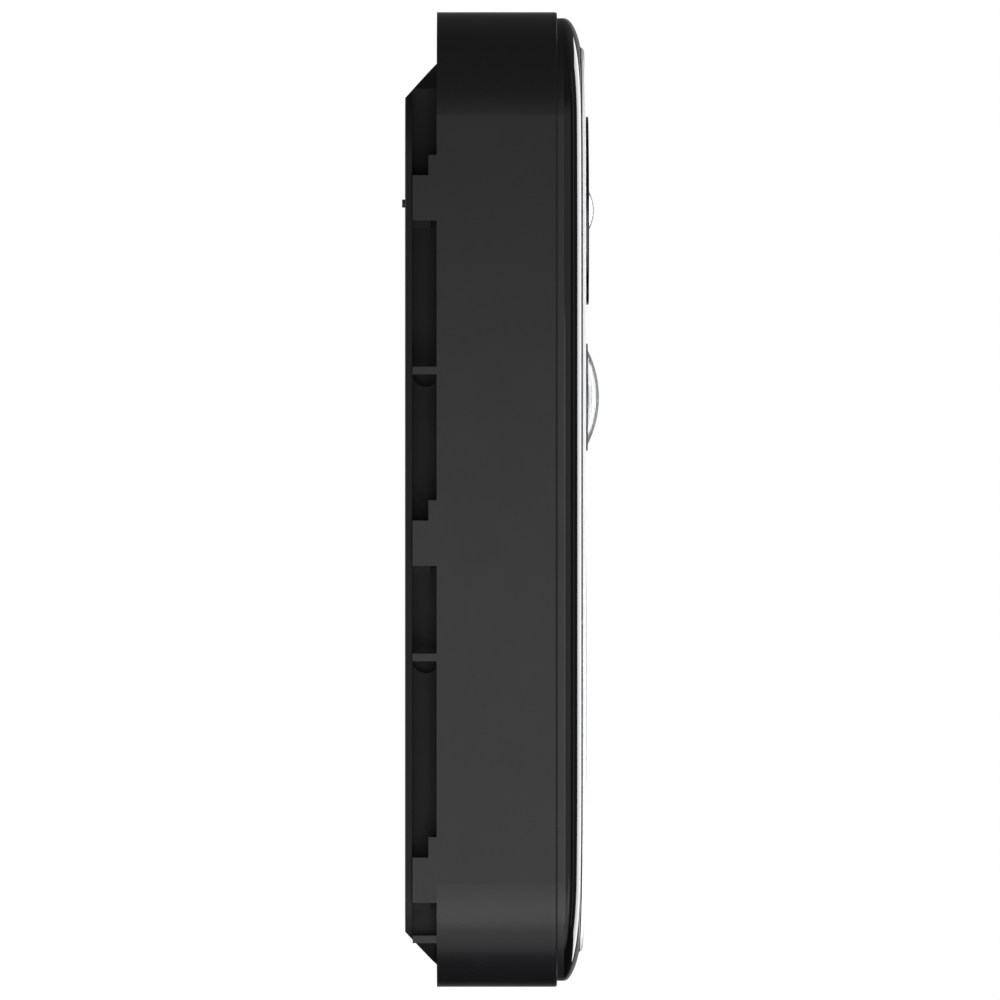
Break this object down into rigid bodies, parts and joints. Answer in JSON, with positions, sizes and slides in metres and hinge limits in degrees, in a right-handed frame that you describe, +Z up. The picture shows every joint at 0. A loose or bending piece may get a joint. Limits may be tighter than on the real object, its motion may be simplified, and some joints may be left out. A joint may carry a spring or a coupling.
{
  "type": "video doorbell",
  "caption": "Slim wall-mounted video doorbell: matte sleeve on a hooked bracket, glossy bezel, white front with camera, motion sensor dome and lit button.",
  "frame": {"origin": "centre of the two wall-screw holes, in the back face of the wall bracket", "axes": "+X to the right seen from behind, so the front faces -Y; +Z up along the body; +Y into the wall"},
  "size_m": [0.05, 0.0264, 0.13],
  "materials": {
    "sleeve_plastic": "fine spark-eroded texture",
    "bracket_plastic": "fine texture",
    "frame_plastic": "satin",
    "cover_plastic": "satin",
    "bezel_plastic": "polished black",
    "face_plastic": "gloss white",
    "window_plastic": "polished infrared-clear black",
    "lens_glass": "coated glass",
    "barrel_metal": "black anodised",
    "dome_plastic": "milky polyethylene",
    "ring_plastic": "polished",
    "light_plastic": "frosted translucent",
    "button_plastic": "gloss white",
    "seal_rubber": "moulded silicone",
    "spring_steel": "drawn wire",
    "screw_steel": "zinc plated",
    "board_laminate": "solder mask",
    "chip_resin": "moulded epoxy",
    "shield_metal": "tinned",
    "switch_plastic": "moulded",
    "terminal_plastic": "moulded nylon",
    "ribbon_film": "polyimide film",
    "led_resin": "clear resin",
    "night_led": "tinted resin",
    "sensor_can": "nickel-plated can",
    "capacitor_sleeve": "shrink sleeve",
    "coil_ferrite": "ferrite",
    "speaker_frame": "moulded",
    "plunger_plastic": "acetal"
  },
  "bodies": {
    "bracket": {"wall_bracket": "bracket_plastic"},
    "button": {"button_cap": "button_plastic", "switch_plunger": "switch_plastic"},
    "tamper": {"tamper_plunger": "plunger_plastic"},
    "housing": {"housing_sleeve": "sleeve_plastic", "rear_cover": "cover_plastic", "rear_gasket": "seal_rubber", "front_frame": "frame_plastic", "front_seal": "seal_rubber", "front_bezel": "bezel_plastic", "faceplate": "face_plastic", "camera_window": "window_plastic", "camera_lens": "lens_glass", "camera_barrel": "barrel_metal", "camera_holder": "switch_plastic", "image_sensor": "chip_resin", "camera_board": "board_laminate", "camera_screws": "screw_steel", "infrared_board": "board_laminate", "infrared_leds": "night_led", "camera_shroud": "seal_rubber", "camera_ribbon": "ribbon_film", "motion_ring": "ring_plastic", "motion_lens": "dome_plastic", "motion_sensor": "sensor_can", "light_ring": "light_plastic", "button_switch": "switch_plastic", "button_spring": "spring_steel", "button_seal": "seal_rubber", "ring_board": "board_laminate", "ring_leds": "led_resin", "main_board": "board_laminate", "board_screws": "screw_steel", "housing_screws": "screw_steel", "main_chips": "chip_resin", "wifi_module": "shield_metal", "board_connector": "switch_plastic", "wifi_antenna": "ribbon_film", "power_board": "board_laminate", "power_inductor": "coil_ferrite", "backup_capacitor": "capacitor_sleeve", "terminal_block": "terminal_plastic", "terminal_screws": "screw_steel", "speaker": "speaker_frame", "speaker_seal": "seal_rubber", "microphone": "shield_metal", "tamper_spring": "spring_steel", "tamper_switch": "switch_plastic"}
  },
  "joints": [
    {"name": "unlock_slide", "type": "slide", "parent": "bracket", "child": "housing", "axis": [0, 0, 1], "range_m": [0, 0.003]},
    {"name": "button_press", "type": "slide", "parent": "housing", "child": "button", "axis": [0, 1, 0], "range_m": [0, 0.0005], "stiffness_N_per_m": 2500, "springref_m": -0.0003, "deforming": ["button_spring"]},
    {"name": "tamper_press", "type": "slide", "parent": "housing", "child": "tamper", "axis": [0, -1, 0], "range_m": [0, 0.00057], "stiffness_N_per_m": 1000, "springref_m": -0.0005, "deforming": ["tamper_spring"]}
  ]
}
